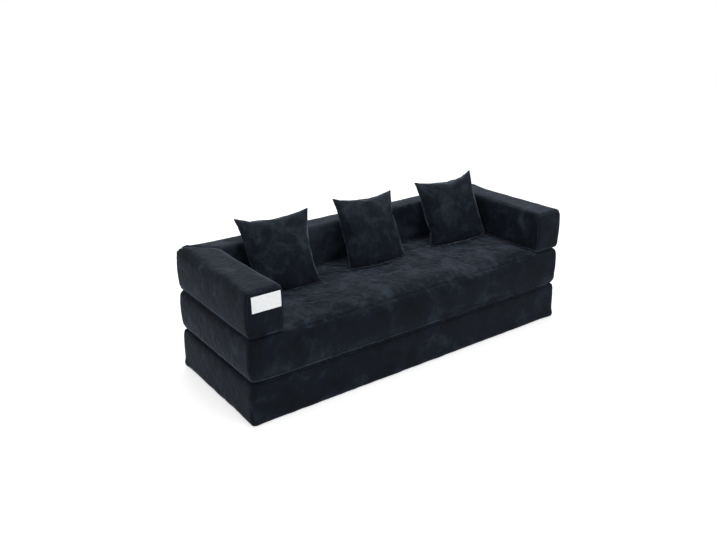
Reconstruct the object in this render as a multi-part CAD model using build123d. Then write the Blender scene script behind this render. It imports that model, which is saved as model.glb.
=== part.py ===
from build123d import *
from math import cos, radians, sin
import os

# Modular sofa bed, in millimetres. The origin is the centre of the underside: +X to the right as
# seen from the front, +Y to the back, +Z up.

# Driving sizes of the whole sofa
sofa_length = 2032.0
sofa_depth = 762.0
layer_pitch = 223.0
arm_width = 185.0
back_thickness = 160.0

# Foam block and cover
side_bulge = 8.0
lower_edge_radius = 24.0
upper_edge_radius = 36.0
corner_radius = 36.0
cover_wall = 3.0
core_clearance = 0.5
seating_gap = 0.3
stand_cut = 0.5
cut_overrun = 40.0

# How the edges and sides of a block are stepped, and how much of the edge inset the corners take
edge_angle_shares = (0.0, 0.28, 0.55, 0.82)
side_height_shares = (0.1, 0.36, 0.64, 0.9)
corner_follow_share = 0.7

# Crown of the seat between the arms
seat_crown = 7.0
crown_margin = 16.0
crown_inset = 100.0
crown_corner = 40.0
crown_steps_shares = ((0.0, 0.0), (0.25, 0.55), (0.55, 0.85), (1.0, 1.0))

# Fold tape between the base and the seat: a leaf on each block, a seam cord and its gutter
fold_gap = 3.0
tape_thickness = 1.0
tape_spacing = 0.3
tape_reach = 86.0
tape_end_margin = 64.0
cord_radius = 2.5
gutter_clearance = 0.08
gutter_wall = 1.0
gutter_turn = 130.0
front_clearance = 0.5

# Hook and loop strips between the seat and the bolster
grip_thickness = 1.0
grip_spacing = 0.3
grip_width = 50.0
grip_end_margin = 150.0

# Seam tapes in the two mitred corners of the bolster
mitre_tape_thickness = 1.0
mitre_tape_margin = 6.0

# Zips of the blocks
zip_height = 42.0
zip_end_margin = 190.0
zip_slot = 13.0
zip_tape_fit = 0.3
zip_tape_thickness = 0.8
zip_tape_depth = 4.9
zip_teeth_width = 5.0
zip_teeth_thickness = 0.7

# Sliders of the blocks' zips
slider_length = 12.0
slider_width = 9.0
slider_thickness = 2.7
slider_clearance = 0.3
puller_length = 24.0
puller_width = 6.0
puller_thickness = 1.0
puller_gap = 0.25
puller_eye_radius = 1.6

# Label sewn on the front end of the left arm
label_width = 152.0
label_height = 80.0
label_side_margin = 14.0
label_top_margin = 16.0
label_thickness = 0.7
label_corner = 4.0

# Throw pillows
pillow_width = 406.0
pillow_height = 384.0
pillow_thickness = 144.0
pillow_wall = 2.0
pillow_seam_share = 1.6
fill_clearance = 0.6
pillow_waist = 20.0
pillow_ear = 15.0
pillow_zip_length = 250.0
pillow_lean = 24.0

# Each row is a section of half a pillow, from its seam to its crown: share of the half thickness,
# share of the half width that it is drawn in, share of its own half height that its corners take,
# and share of the waist that its sides are hollow by
pillow_section_shares = (
    (0.0, 0.0, 0.0, 1.0),
    (0.2, 0.045, 0.3, 0.75),
    (0.46, 0.13, 0.5, 0.35),
    (0.72, 0.25, 0.65, -0.2),
    (0.91, 0.41, 0.75, -0.5),
    (1.0, 0.62, 0.8, -0.5),
)
arc_middle_share = 1.0 - cos(radians(45.0))
waist_quarter_share = 0.75
zip_room_share = 0.7

# Where each pillow stands: share of the seat's half length, turn and roll in degrees
pillow_places = {
    "left": {"along_share": -0.69, "turn": -7.0, "roll": 0.3},
    "middle": {"along_share": 0.029, "turn": 3.0, "roll": 1.5},
    "right": {"along_share": 0.74, "turn": -6.0, "roll": -2.5},
}

# Zips of the pillows, whose tape lies as far up the slot as its depth says
pillow_slot = 7.0
pillow_tape_depth = 2.5
pillow_tape_fit = 0.3
pillow_tape_thickness = 0.8
pillow_teeth_width = 2.6
pillow_teeth_thickness = 0.6
pillow_slider_length = 9.0
pillow_slider_width = 5.4
pillow_slider_thickness = 2.2
pillow_puller_length = 20.0
pillow_puller_width = 4.4
pillow_puller_thickness = 0.8

# Places that follow from the sizes above
gutter_radius = cord_radius + gutter_clearance + gutter_wall
hinge_y = -sofa_depth / 2 + cord_radius
block_front = hinge_y + front_clearance
block_back = sofa_depth / 2
block_side = sofa_length / 2
grip_gap = 2 * grip_thickness + 3 * grip_spacing
base_top = layer_pitch - fold_gap / 2
seat_bottom = layer_pitch + fold_gap / 2
seat_top = 2 * layer_pitch - grip_gap / 2
bolster_bottom = 2 * layer_pitch + grip_gap / 2
bolster_top = 3 * layer_pitch
arm_inner = block_side - arm_width
back_inner = block_back - back_thickness

# Each block as its two corners
base_block = ((-block_side, block_front, -stand_cut), (block_side, block_back, base_top))
seat_block = ((-block_side, block_front, seat_bottom), (block_side, block_back, seat_top))
back_block = ((-block_side, back_inner, bolster_bottom), (block_side, block_back, bolster_top))
left_arm_block = ((-block_side, block_front, bolster_bottom), (-arm_inner, block_back, bolster_top))
right_arm_block = ((arm_inner, block_front, bolster_bottom), (block_side, block_back, bolster_top))


def box_between(low, high):
    size = [b - a for a, b in zip(low, high)]
    middle = [(a + b) / 2 for a, b in zip(low, high)]
    return Pos(*middle) * Box(*size)


def plan_prism(points, low, high):
    outline = make_face(Polyline(*points, close=True))
    return Pos(0, 0, low) * extrude(outline, high - low)


def block_form(block, inset=0.0):
    # A foam block with rounded edges and sides that swell a little, lofted up its height
    (x0, y0, z0), (x1, y1, z1) = block
    low, high = z0 + inset, z1 - inset
    low_edge, high_edge = lower_edge_radius - inset, upper_edge_radius - inset
    steps = []
    for share in edge_angle_shares:
        angle = radians(90.0 * share)
        steps.append((low + low_edge * (1 - cos(angle)), low_edge * (1 - sin(angle))))
    straight_low, straight_high = low + low_edge, high - high_edge
    for share in side_height_shares:
        steps.append((straight_low + (straight_high - straight_low) * share, 0.0))
    for share in reversed(edge_angle_shares):
        angle = radians(90.0 * share)
        steps.append((high - high_edge * (1 - cos(angle)), high_edge * (1 - sin(angle))))
    sections = []
    for height, edge in steps:
        level = 2 * (height - low) / (high - low) - 1
        drawn = inset + edge + side_bulge * level ** 2
        corner = corner_radius - inset - edge * corner_follow_share
        plan = RectangleRounded(x1 - x0 - 2 * drawn, y1 - y0 - 2 * drawn, corner)
        sections.append(Pos((x0 + x1) / 2, (y0 + y1) / 2, height) * plan)
    return loft(sections)


def seat_crown_form(inset=0.0):
    # The low swell of the seat between the arms and in front of the back
    front = block_front + side_bulge + upper_edge_radius
    half_length = arm_inner - crown_margin - inset
    low_y, high_y = front + inset, back_inner - crown_margin - inset
    sections = []
    for inset_share, rise_share in crown_steps_shares:
        drawn = crown_inset * inset_share
        plan = RectangleRounded(2 * (half_length - drawn), high_y - low_y - 2 * drawn, crown_corner)
        height = seat_top - inset + seat_crown * rise_share
        sections.append(Pos(0, (low_y + high_y) / 2, height) * plan)
    return loft(sections)


def seat_form(inset=0.0):
    return block_form(seat_block, inset) + seat_crown_form(inset)


def base_form(inset=0.0):
    form = block_form(base_block, inset)
    floor = box_between(
        (-sofa_length, -sofa_depth, -cut_overrun), (sofa_length, sofa_depth, inset)
    )
    return form - floor


def mitre_line(side, shift):
    # The two ends of a mitre in plan, overrun past the block and shifted away from the arm
    outer = Vector(side * block_side, block_back, 0)
    inner = Vector(side * arm_inner, back_inner, 0)
    along = (inner - outer).normalized()
    across = Vector(side * along.Y, -side * along.X, 0)
    start = outer - along * cut_overrun + across * shift
    end = inner + along * cut_overrun + across * shift
    return start, end


def arm_form(side, block, inset=0.0):
    # An arm block, cut at its rear end along the mitre
    start, end = mitre_line(side, -inset - mitre_tape_thickness / 2 - seating_gap)
    front = block_front - cut_overrun
    outside = side * (block_side + cut_overrun)
    inside = side * (arm_inner - cut_overrun)
    plan = [(outside, front), (outside, start.Y), (start.X, start.Y), (end.X, end.Y), (inside, front)]
    keep = plan_prism(plan, bolster_bottom - cut_overrun, bolster_top + cut_overrun)
    return block_form(block, inset) & keep


def back_form(inset=0.0):
    # The back block, cut at both ends along the mitres
    shift = inset + mitre_tape_thickness / 2 + seating_gap
    right_outer, right_inner = mitre_line(1, shift)
    left_outer, left_inner = mitre_line(-1, shift)
    plan = [
        (left_outer.X, left_outer.Y),
        (right_outer.X, right_outer.Y),
        (right_inner.X, right_inner.Y),
        (left_inner.X, left_inner.Y),
    ]
    keep = plan_prism(plan, bolster_bottom - cut_overrun, bolster_top + cut_overrun)
    return block_form(back_block, inset) & keep


def mitre_tape(side):
    # The partition that the arm's cover and the back's cover are sewn to
    outer = Vector(side * block_side, block_back, 0)
    inner = Vector(side * arm_inner, back_inner, 0)
    along = (inner - outer).normalized()
    run = upper_edge_radius + mitre_tape_margin
    start, end = outer + along * run, inner - along * (run / 2)
    across = Vector(-along.Y, along.X, 0) * (mitre_tape_thickness / 2)
    corners = [start + across, end + across, end - across, start - across]
    low = bolster_bottom + lower_edge_radius
    high = bolster_top - upper_edge_radius
    return plan_prism([(c.X, c.Y) for c in corners], low, high)


def zip_middle(block):
    # Height of a block's zip above the ground
    return block[0][2] + zip_height


def zip_half_length():
    return block_side - zip_end_margin


def zip_slot_cut(block):
    middle = zip_middle(block)
    return box_between(
        (-zip_half_length(), block_back - side_bulge - 2 * cover_wall, middle - zip_slot / 2),
        (zip_half_length(), block_back + cut_overrun, middle + zip_slot / 2),
    )


def block_zip(block):
    # The tape in the slot of the rear wall, with its row of teeth
    middle = zip_middle(block)
    half = zip_half_length() - zip_tape_fit
    face = block_back - zip_tape_depth
    reach = zip_slot / 2 - zip_tape_fit
    tape = box_between((-half, face - zip_tape_thickness, middle - reach), (half, face, middle + reach))
    teeth = box_between(
        (-half, face, middle - zip_teeth_width / 2),
        (half, face + zip_teeth_thickness, middle + zip_teeth_width / 2),
    )
    return tape + teeth


def block_zip_slider(block):
    # The slider straddles the teeth at the closed end of the zip, and its puller hangs on it
    middle = zip_middle(block)
    x0 = -zip_half_length() + slider_length
    x1 = x0 + slider_length
    y0 = block_back - zip_tape_depth + slider_clearance
    y1 = y0 + slider_thickness
    half = slider_width / 2
    body = box_between((x0, y0, middle - half), (x1, y1, middle + half))
    channel = box_between(
        (x0, y0, middle - zip_teeth_width / 2 - slider_clearance),
        (x1, y0 + zip_teeth_thickness, middle + zip_teeth_width / 2 + slider_clearance),
    )
    centre = (x0 + x1) / 2
    low = middle - puller_length
    puller = box_between(
        (centre - puller_width / 2, y1 + puller_gap, low),
        (centre + puller_width / 2, y1 + puller_gap + puller_thickness, middle + puller_width / 2),
    )
    eye = Cylinder(puller_eye_radius, cut_overrun)
    eye = Pos(centre, y1, low + puller_width / 2) * Rot(90, 0, 0) * eye
    return Compound([body - channel, puller - eye])


def fold_tape_upper():
    # The seat's leaf, joined to the seam cord that the base turns on
    half = block_side - tape_end_margin
    cord = Pos(0, hinge_y, layer_pitch) * Rot(0, 90, 0) * Cylinder(cord_radius, 2 * half)
    low = layer_pitch + tape_spacing / 2
    leaf = box_between((-half, hinge_y, low), (half, hinge_y + tape_reach, low + tape_thickness))
    return cord + leaf


def fold_tape_lower():
    # The base's leaf, which ends in a gutter round the seam cord
    half = block_side - tape_end_margin
    inner = cord_radius + gutter_clearance
    ring = Circle(gutter_radius) - Circle(inner)
    last = radians(-gutter_turn)
    reach = 2 * gutter_radius
    wedge = make_face(
        Polyline(
            (0, 0),
            (reach, 0),
            (reach, -reach),
            (-reach, -reach),
            (reach * cos(last), reach * sin(last)),
            close=True,
        )
    )
    high = -tape_spacing / 2
    low = high - tape_thickness
    leaf = Pos((inner + tape_reach) / 2, (high + low) / 2) * Rectangle(
        tape_reach - inner, tape_thickness
    )
    above = Pos(reach, reach + high) * Rectangle(2 * reach, 2 * reach)
    profile = (ring & wedge) - above + leaf
    return Pos(0, hinge_y, layer_pitch) * extrude(Plane.YZ * profile, half, both=True)


def grip_strips(low):
    # Three flat strips, under the back and under each arm
    back_y = (back_inner + block_back) / 2
    half = arm_inner - grip_end_margin / 2
    strips = [
        box_between(
            (-half, back_y - grip_width / 2, low), (half, back_y + grip_width / 2, low + grip_thickness)
        )
    ]
    for side in (-1, 1):
        x = side * (block_side - arm_width / 2)
        strips.append(
            box_between(
                (x - grip_width / 2, block_front + grip_end_margin, low),
                (x + grip_width / 2, back_inner - grip_end_margin / 2, low + grip_thickness),
            )
        )
    return Compound(strips)


def arm_label():
    # A woven label that lies on the swelling front face of the left arm
    x1 = -arm_inner - label_side_margin
    z1 = bolster_top - label_top_margin
    window = Pos(x1 - label_width / 2, block_front, z1 - label_height / 2) * Rot(90, 0, 0) * extrude(
        RectangleRounded(label_width, label_height, label_corner), cut_overrun, both=True
    )
    outside = block_form(left_arm_block, -seating_gap - label_thickness)
    inside = block_form(left_arm_block, -seating_gap)
    return (outside - inside) & window


def pillow_outline(draw_in, ear, hollow):
    # One closed section of a pillow: four hollow sides and four corners, with a straight middle
    # in its lower side for the zip
    half_x = pillow_width / 2 - draw_in
    low, high = draw_in, pillow_height - draw_in
    zip_half = min(pillow_zip_length / 2, (half_x - ear) * zip_room_share)
    bend = ear * arc_middle_share
    quarter = (half_x - ear + zip_half) / 2
    bottom, middle = low + hollow, (low + high) / 2
    quarter_height = low + hollow * waist_quarter_share
    edges = [
        ThreePointArc((-half_x + ear, low), (-quarter, quarter_height), (-zip_half, bottom)),
        Line((-zip_half, bottom), (zip_half, bottom)),
        ThreePointArc((zip_half, bottom), (quarter, quarter_height), (half_x - ear, low)),
        ThreePointArc((half_x - ear, low), (half_x - bend, low + bend), (half_x, low + ear)),
        ThreePointArc((half_x, low + ear), (half_x - hollow, middle), (half_x, high - ear)),
        ThreePointArc((half_x, high - ear), (half_x - bend, high - bend), (half_x - ear, high)),
        ThreePointArc((half_x - ear, high), (0, high - hollow), (-half_x + ear, high)),
        ThreePointArc((-half_x + ear, high), (-half_x + bend, high - bend), (-half_x, high - ear)),
        ThreePointArc((-half_x, high - ear), (-half_x + hollow, middle), (-half_x, low + ear)),
        ThreePointArc((-half_x, low + ear), (-half_x + bend, low + bend), (-half_x + ear, low)),
    ]
    return make_face(edges)


def pillow_form(inset=0.0):
    # Two crowned halves that meet at the seam, standing on the lower seam at the origin
    seam_inset = inset * pillow_seam_share
    half_width = pillow_width / 2
    form = None
    for side in (-1, 1):
        sections = []
        for depth_share, draw_share, corner_share, hollow_share in pillow_section_shares:
            draw_in = seam_inset + half_width * draw_share
            ear = max(pillow_ear, (pillow_height / 2 - draw_in) * corner_share)
            outline = pillow_outline(draw_in, ear, pillow_waist * hollow_share)
            thickness = (pillow_thickness / 2 - inset) * depth_share
            sections.append(Pos(0, 0, side * thickness) * outline)
        half = loft(sections)
        form = half if form is None else form + half
    return Rot(90, 0, 0) * form


def pillow_slot_cut():
    top = pillow_waist + pillow_seam_share * pillow_wall + pillow_slot
    return box_between(
        (-pillow_zip_length / 2, -pillow_slot / 2, -cut_overrun),
        (pillow_zip_length / 2, pillow_slot / 2, top),
    )


def pillow_zip():
    # The tape spans the slot between the two panels, with its teeth below
    half = pillow_zip_length / 2 - pillow_tape_fit
    low = pillow_waist + pillow_tape_depth
    reach = pillow_slot / 2 - pillow_tape_fit
    tape = box_between((-half, -reach, low), (half, reach, low + pillow_tape_thickness))
    teeth = box_between(
        (-half, -pillow_teeth_width / 2, low - pillow_teeth_thickness),
        (half, pillow_teeth_width / 2, low),
    )
    return tape + teeth


def pillow_zip_slider():
    x0 = -pillow_zip_length / 2 + pillow_slider_length
    x1 = x0 + pillow_slider_length
    z1 = pillow_waist + pillow_tape_depth - slider_clearance
    z0 = z1 - pillow_slider_thickness
    half = pillow_slider_width / 2
    body = box_between((x0, -half, z0), (x1, half, z1))
    channel = box_between(
        (x0, -pillow_teeth_width / 2 - slider_clearance, z1 - pillow_teeth_thickness),
        (x1, pillow_teeth_width / 2 + slider_clearance, z1),
    )
    centre = (x0 + x1) / 2
    puller = box_between(
        (centre, -pillow_puller_width / 2, z0 - puller_gap - pillow_puller_thickness),
        (centre + pillow_puller_length, pillow_puller_width / 2, z0 - puller_gap),
    )
    eye = Pos(centre + pillow_puller_length - pillow_puller_width / 2, 0, z0) * Cylinder(
        pillow_puller_width / 4, cut_overrun
    )
    return Compound([body - channel, puller - eye])


def pillow_pose(place, form):
    # Turned as it stands, then moved until it rests on the seat and leans on the back
    turned = Rot(0, 0, place["turn"]) * Rot(-pillow_lean, 0, 0) * Rot(0, place["roll"], 0)
    lift = seat_top + seat_crown + seating_gap - (turned * form).bounding_box().min.Z
    raised = Pos(0, 0, lift) * turned
    beside_back = (raised * form) & box_between(
        (-sofa_length, -sofa_depth, 0), (sofa_length, sofa_depth, bolster_top)
    )
    push = back_inner - seating_gap - beside_back.bounding_box().max.Y
    return Pos(arm_inner * place["along_share"], push, 0) * raised


def make_blocks(nodes):
    nodes["base_cover"] = base_form() - base_form(cover_wall) - zip_slot_cut(base_block)
    nodes["base_foam"] = base_form(cover_wall + core_clearance)
    nodes["seat_cover"] = seat_form() - seat_form(cover_wall) - zip_slot_cut(seat_block)
    nodes["seat_foam"] = seat_form(cover_wall + core_clearance)
    nodes["back_cover"] = back_form() - back_form(cover_wall) - zip_slot_cut(back_block)
    nodes["back_foam"] = back_form(cover_wall + core_clearance)
    for side, name, block in ((-1, "left", left_arm_block), (1, "right", right_arm_block)):
        nodes[name + "_arm_cover"] = arm_form(side, block) - arm_form(side, block, cover_wall)
        nodes[name + "_arm_foam"] = arm_form(side, block, cover_wall + core_clearance)
    for name, block in (("base", base_block), ("seat", seat_block), ("bolster", back_block)):
        nodes[name + "_zip"] = block_zip(block)
        nodes[name + "_zip_slider"] = block_zip_slider(block)


def make_joining_pieces(nodes):
    nodes["fold_tape_upper"] = fold_tape_upper()
    nodes["fold_tape_lower"] = fold_tape_lower()
    nodes["seat_loop_strips"] = grip_strips(seat_top + grip_spacing)
    nodes["bolster_hook_strips"] = grip_strips(bolster_bottom - grip_spacing - grip_thickness)
    nodes["corner_seam_tapes"] = Compound([mitre_tape(-1), mitre_tape(1)])
    nodes["arm_label"] = arm_label()


def make_pillows(nodes):
    outside = pillow_form()
    cover = outside - pillow_form(pillow_wall) - pillow_slot_cut()
    fill = pillow_form(pillow_wall + fill_clearance)
    pieces = {"cover": cover, "fill": fill, "zip": pillow_zip(), "zip_slider": pillow_zip_slider()}
    for name, place in pillow_places.items():
        pose = pillow_pose(place, outside)
        print(name, "pillow stands at", [round(v, 2) for v in pose.position])
        for piece, shape in pieces.items():
            nodes[f"{name}_pillow_{piece}"] = pose * shape


def main():
    nodes = {}
    make_blocks(nodes)
    make_joining_pieces(nodes)
    make_pillows(nodes)
    os.makedirs("parts", exist_ok=True)
    for name, shape in nodes.items():
        export_step(shape, f"parts/{name}.step")


main()
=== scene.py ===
from math import pi, radians

import bmesh
import bpy
import numpy as np
from mathutils import Euler, Matrix, Vector, noise


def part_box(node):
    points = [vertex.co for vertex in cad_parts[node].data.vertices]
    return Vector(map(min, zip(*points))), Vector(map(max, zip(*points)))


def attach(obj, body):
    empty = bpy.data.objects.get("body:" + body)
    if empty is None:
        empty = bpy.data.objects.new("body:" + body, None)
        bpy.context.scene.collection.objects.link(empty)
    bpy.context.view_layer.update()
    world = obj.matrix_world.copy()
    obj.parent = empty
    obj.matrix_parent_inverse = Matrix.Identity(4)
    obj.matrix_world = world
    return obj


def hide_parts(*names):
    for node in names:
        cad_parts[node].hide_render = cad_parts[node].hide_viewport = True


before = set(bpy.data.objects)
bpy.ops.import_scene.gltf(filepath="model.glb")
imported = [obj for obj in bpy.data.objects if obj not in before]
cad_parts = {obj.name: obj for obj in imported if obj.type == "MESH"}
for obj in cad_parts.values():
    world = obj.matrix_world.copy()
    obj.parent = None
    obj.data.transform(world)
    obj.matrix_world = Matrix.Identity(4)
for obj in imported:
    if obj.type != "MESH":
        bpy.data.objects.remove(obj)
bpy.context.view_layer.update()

scene = bpy.context.scene

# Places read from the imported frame, in metres
baseLow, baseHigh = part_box("base_cover")
seatLow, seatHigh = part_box("seat_cover")
backLow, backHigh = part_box("back_cover")
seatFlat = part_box("seat_loop_strips")[0].z - 0.0003   # the seat's top where the bolster rests
armInner = -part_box("left_arm_cover")[1].x
halfLength = baseHigh.x
backInner = backLow.y
frontFace = baseLow.y
backFace = baseHigh.y


# Selecting and operators

def deselectAll():
    if bpy.context.object and bpy.context.object.mode != "OBJECT":
        bpy.ops.object.mode_set(mode="OBJECT")
    bpy.ops.object.select_all(action="DESELECT")


def activate(obj):
    deselectAll()
    obj.select_set(True)
    bpy.context.view_layer.objects.active = obj


def editMesh(obj):
    activate(obj)
    bpy.ops.object.mode_set(mode="EDIT")
    bpy.ops.mesh.select_all(action="DESELECT")
    return bmesh.from_edit_mesh(obj.data)


def objectMode():
    bpy.ops.object.mode_set(mode="OBJECT")


def selectEdges(obj, test):
    # test gets an edge's two ends; the edges that pass are left selected in edit mode
    mesh = editMesh(obj)
    bpy.ops.mesh.select_mode(type="EDGE")
    for edge in mesh.edges:
        edge.select = bool(test(edge.verts[0].co, edge.verts[1].co))
    bmesh.update_edit_mesh(obj.data)


def applyModifier(obj, kind, **settings):
    activate(obj)
    bpy.ops.object.modifier_add(type=kind)
    modifier = obj.modifiers[-1]
    for key, value in settings.items():
        setattr(modifier, key, value)
    bpy.ops.object.modifier_apply(modifier=modifier.name)


def readPoints(obj):
    points = np.empty(len(obj.data.vertices) * 3)
    obj.data.vertices.foreach_get("co", points)
    return points.reshape(-1, 3)


def writePoints(obj, points):
    obj.data.vertices.foreach_set("co", points.ravel())
    obj.data.update()


def readNormals(obj):
    normals = np.empty(len(obj.data.vertices) * 3)
    obj.data.vertex_normals.foreach_get("vector", normals)
    return normals.reshape(-1, 3)


def smoothStep(low, high, value):
    share = np.clip((value - low) / (high - low), 0, 1)
    return share * share * (3 - 2 * share)


def noiseField(points, featureSize, seed, stretch=(1, 1, 1)):
    # Smooth noise of about -1 to 1 at each point; stretch makes its features longer along an axis
    scale = np.array([1 / (featureSize * s) for s in stretch])
    shift = Vector((seed * 7.3, seed * 3.1, seed * 5.7))
    return np.array([noise.noise(Vector(p) + shift) for p in points * scale])


# Soft blocks: a bevelled cube, remeshed, with a slightly too large cover simulated over its foam

coverFit = {
    "bulge": 0.003,          # how far a side swells at half its height
    "cornerRadius": 0.018,
    "cornerSegments": 4,
    "simulatedFrames": 15,
    "pressure": 1.2,
    "foamHold": 0.3,         # how firmly the foam holds the cover in place, 0 to 1
    "foamStiffness": 1.5,
    "bending": 0.3,
    "startNoise": 0.0035,
    "startFeature": 0.045,
    "mostMove": 0.012,
    "layerGap": 0.0006,      # between covers that rest on each other
    "crownEdge": 0.12,       # over which a crown fades out
    "frontSoft": 0.0012,     # how softly a cover is held back at the front face
}
pileMarks = {
    "crease": 0.0024,        # height of a crease
    "ridge": 0.048, "fineRidge": 0.021, "warp": 0.035, "warpSize": 0.09, "creasePatch": 0.19,
    "mottled": 0.006,        # a shade of the pile, given as the height of a crest that is as pale
    "mottle": 0.075, "fineMottle": 0.030, "paintedLightPatch": 0.10,
}
foldHeight = (baseHigh.z + seatLow.z) / 2


def startBlock(name, low, high):
    deselectAll()
    low, high = Vector(low), Vector(high)
    bpy.ops.mesh.primitive_cube_add(size=1, location=(low + high) / 2, scale=high - low)
    obj = bpy.context.object
    obj.name = name
    bpy.ops.object.transform_apply(location=True, rotation=True, scale=True)
    return obj


def bevelEdges(obj, width, segments, test):
    selectEdges(obj, test)
    bpy.ops.mesh.bevel(offset=width, segments=segments, profile=0.5, affect="EDGES")
    objectMode()


def cutBlock(obj, point, normal):
    # Cuts away what lies on the normal's side and closes the cut
    editMesh(obj)
    bpy.ops.mesh.select_all(action="SELECT")
    bpy.ops.mesh.bisect(plane_co=point, plane_no=normal, use_fill=True, clear_outer=True)
    objectMode()


def bevelLevel(obj, height, frontY, width, frontWidth):
    # The straight front edge at this height gets its own, tighter bevel
    isLevel = levelEdges(height)
    isFront = lambda a, b: isLevel(a, b) and a.y < frontY + 0.001 and b.y < frontY + 0.001
    bevelEdges(obj, width, 4, lambda a, b: isLevel(a, b) and not isFront(a, b))
    bevelEdges(obj, frontWidth, 2, isFront)


def levelEdges(height, tolerance=0.0005):
    return lambda a, b: abs(a.z - height) < tolerance and abs(b.z - height) < tolerance


def uprightEdges(a, b):
    return abs(a.x - b.x) < 0.0001 and abs(a.y - b.y) < 0.0001


def simulateCloth(obj, frames, pressure, **settings):
    # No weight: the cloth goes where the pressure inside, its cut and its stiffness take it
    activate(obj)
    bpy.ops.object.modifier_add(type="CLOTH")
    modifier = obj.modifiers[-1]
    modifier.settings.use_pressure = True
    modifier.settings.uniform_pressure_force = pressure
    modifier.settings.effector_weights.gravity = 0
    for key, value in settings.items():
        setattr(modifier.settings, key, value)
    modifier.collision_settings.use_collision = False
    modifier.point_cache.frame_start = 1
    modifier.point_cache.frame_end = frames
    for step in range(1, frames + 1):
        scene.frame_set(step)
    bpy.ops.object.modifier_apply(modifier=modifier.name)
    scene.frame_set(1)


def looseCover(obj, slack, seed, stretch):
    # The foam springs each point back while the cover, cut a little too large, buckles into crumples
    plain = readPoints(obj)
    bumps = noiseField(plain, coverFit["startFeature"], seed, stretch)
    bumps += 0.6 * noiseField(plain, 2.3 * coverFit["startFeature"], seed + 1, stretch)
    writePoints(obj, plain + readNormals(obj) * bumps[:, None] * coverFit["startNoise"])
    group = obj.vertex_groups.new(name="foam")
    group.add(list(range(len(plain))), coverFit["foamHold"], "REPLACE")
    simulateCloth(
        obj, coverFit["simulatedFrames"], coverFit["pressure"], shrink_min=-slack,
        bending_stiffness=coverFit["bending"], vertex_group_mass=group.name,
        pin_stiffness=coverFit["foamStiffness"],
    )
    obj.vertex_groups.remove(obj.vertex_groups["foam"])
    moves = readPoints(obj) - plain
    length = np.linalg.norm(moves, axis=1)
    cap = coverFit["mostMove"]
    moves *= (cap * np.tanh(length / cap) / np.maximum(length, 1e-9))[:, None]
    return plain, moves


def swell(points, normals, low, high, sizes, crownLow, crownHigh):
    # The sides swell at half height, the sofa's ends most, and the top rises inside the crown's corners
    level = np.clip(2 * (points[:, 2] - low.z) / (high.z - low.z) - 1, sizes.get("lowestLevel", -1), 1)
    reach = np.full_like(points, coverFit["bulge"])
    reach[points[:, 0] * normals[:, 0] > 0, 0] = sizes["endBulge"]
    reach[:, 2] = 0
    moved = points + normals * reach * (1 - level ** 2)[:, None]
    inside = np.ones(len(points))
    for axis in (0, 1):
        inside *= smoothStep(0, coverFit["crownEdge"], points[:, axis] - crownLow[axis])
        inside *= smoothStep(0, coverFit["crownEdge"], crownHigh[axis] - points[:, axis])
    moved[:, 2] += sizes["crown"] * inside * np.clip(normals[:, 2], 0, 1)
    return moved


def liftOf(moves, normals):
    # How far each move lifts its point off the surface
    return np.einsum("ij,ij->i", moves, normals)


def storeLook(obj, lift, rumpleAndTopLight, rounds=6):
    # Two attributes for the material: how far a point's lift stands above that of its surroundings, in
    # millimetres, which the material paints as paler crests and darker hollows, a painted highlight and
    # shade; and how strongly the pile is pressed in wisps there, which the seat and bolster set higher on
    # their tops so that these are painted paler, a painted top light
    edges = np.empty(len(obj.data.edges) * 2, dtype=np.int64)
    obj.data.edges.foreach_get("vertices", edges)
    first, second = edges.reshape(-1, 2).T
    count = np.bincount(edges, minlength=len(lift))
    smooth = lift.copy()
    for _ in range(rounds):
        total = np.bincount(first, smooth[second], len(lift))
        total += np.bincount(second, smooth[first], len(lift))
        smooth = total / count
    for name, values in (("paleness", (lift - smooth) * 1000), ("rumpleAndTopLight", rumpleAndTopLight)):
        attribute = obj.data.attributes.new(name, "FLOAT", "POINT")
        attribute.data.foreach_set("value", values.astype(np.float32))


def readAttribute(obj, name):
    values = np.empty(len(obj.data.vertices), dtype=np.float32)
    obj.data.attributes[name].data.foreach_get("value", values)
    return values


# Adds to the paleness that the material paints, given in metres: the painted highlights and shades below,
# and the ends' patches, go in this way
def addPaleness(obj, lift):
    paleness = readAttribute(obj, "paleness") + lift * 1000      # in millimetres
    obj.data.attributes["paleness"].data.foreach_set("value", paleness.astype(np.float32))


def addCreases(obj, seed, stretch):
    # Small branching creases that the pressed pile keeps, as ridges of warped noise; their ridges are
    # also painted paler and their troughs darker, a painted highlight and shade
    points, rumpleAndTopLight = readPoints(obj), readAttribute(obj, "rumpleAndTopLight")
    warp = np.stack([noiseField(points, pileMarks["warpSize"], seed + k) for k in range(3)], axis=1)
    warped = points + pileMarks["warp"] * warp
    ridge = (1 - np.abs(noiseField(warped, pileMarks["ridge"], seed + 3, stretch))) ** 3 - 0.5
    fine = (1 - np.abs(noiseField(warped, pileMarks["fineRidge"], seed + 4, stretch))) ** 3 - 0.5
    patches = 0.7 + 1.1 * noiseField(points, pileMarks["creasePatch"], seed + 5)
    lift = pileMarks["crease"] * rumpleAndTopLight ** 2 * patches * (ridge + 0.6 * fine)
    addPaleness(obj, lift)
    writePoints(obj, points + readNormals(obj) * lift[:, None])


def mottleEnds(obj, seed):
    # On the sofa's ends the pile is pressed in darker and paler patches, which lean to the dark side:
    # a painted shade that darkens the ends a little
    points, normals = readPoints(obj), readNormals(obj)
    end = smoothStep(0.6, 0.9, np.abs(normals[:, 0]))
    patches = noiseField(points, pileMarks["mottle"], seed) - 0.2
    patches += 0.6 * noiseField(points, pileMarks["fineMottle"], seed + 1)
    addPaleness(obj, pileMarks["mottled"] * end * patches)


def finishSoft(obj, seed, stretch=(1.5, 1.2, 1)):
    applyModifier(obj, "SUBSURF", levels=1, render_levels=1)
    addCreases(obj, seed, stretch)


def finishLook(obj, body):
    activate(obj)
    bpy.ops.object.shade_smooth()
    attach(obj, body)


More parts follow.
